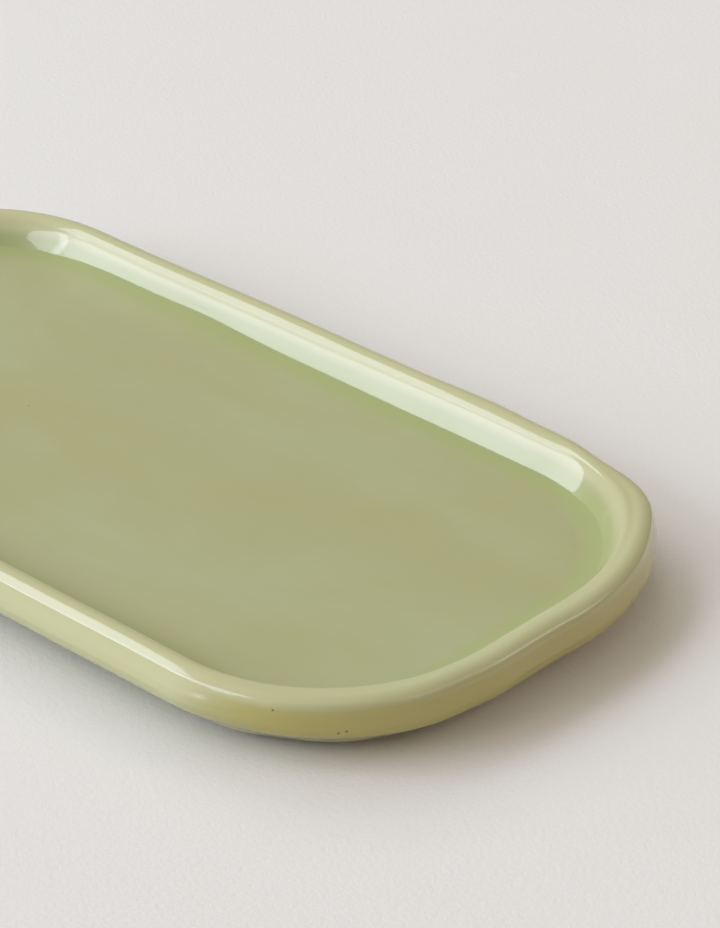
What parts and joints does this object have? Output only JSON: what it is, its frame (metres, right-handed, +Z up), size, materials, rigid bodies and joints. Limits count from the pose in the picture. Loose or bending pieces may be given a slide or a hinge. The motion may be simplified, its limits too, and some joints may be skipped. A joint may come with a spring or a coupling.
{
  "type": "tray",
  "caption": "Shallow rounded-rectangle stoneware tray with a thick hand-formed rim, coved well and low foot ring under a green glaze, for serving or for keeping small things in place.",
  "frame": {"origin": "middle of the tray's plan box, on the plane that the foot ring stands on", "axes": "+X along the length, +Y across the width, +Z up out of the well"},
  "size_m": [0.2862, 0.1518, 0.0184],
  "materials": {
    "clay": "fired bare stoneware, matte and slightly sandy",
    "glaze": "glossy sage-green glaze, cloudy, thin and tan on the rim, greener where it pools"
  },
  "bodies": {
    "root": {"clay_body": "clay", "glaze_coat": "glaze", "underside_glaze": "glaze"}
  },
  "joints": []
}
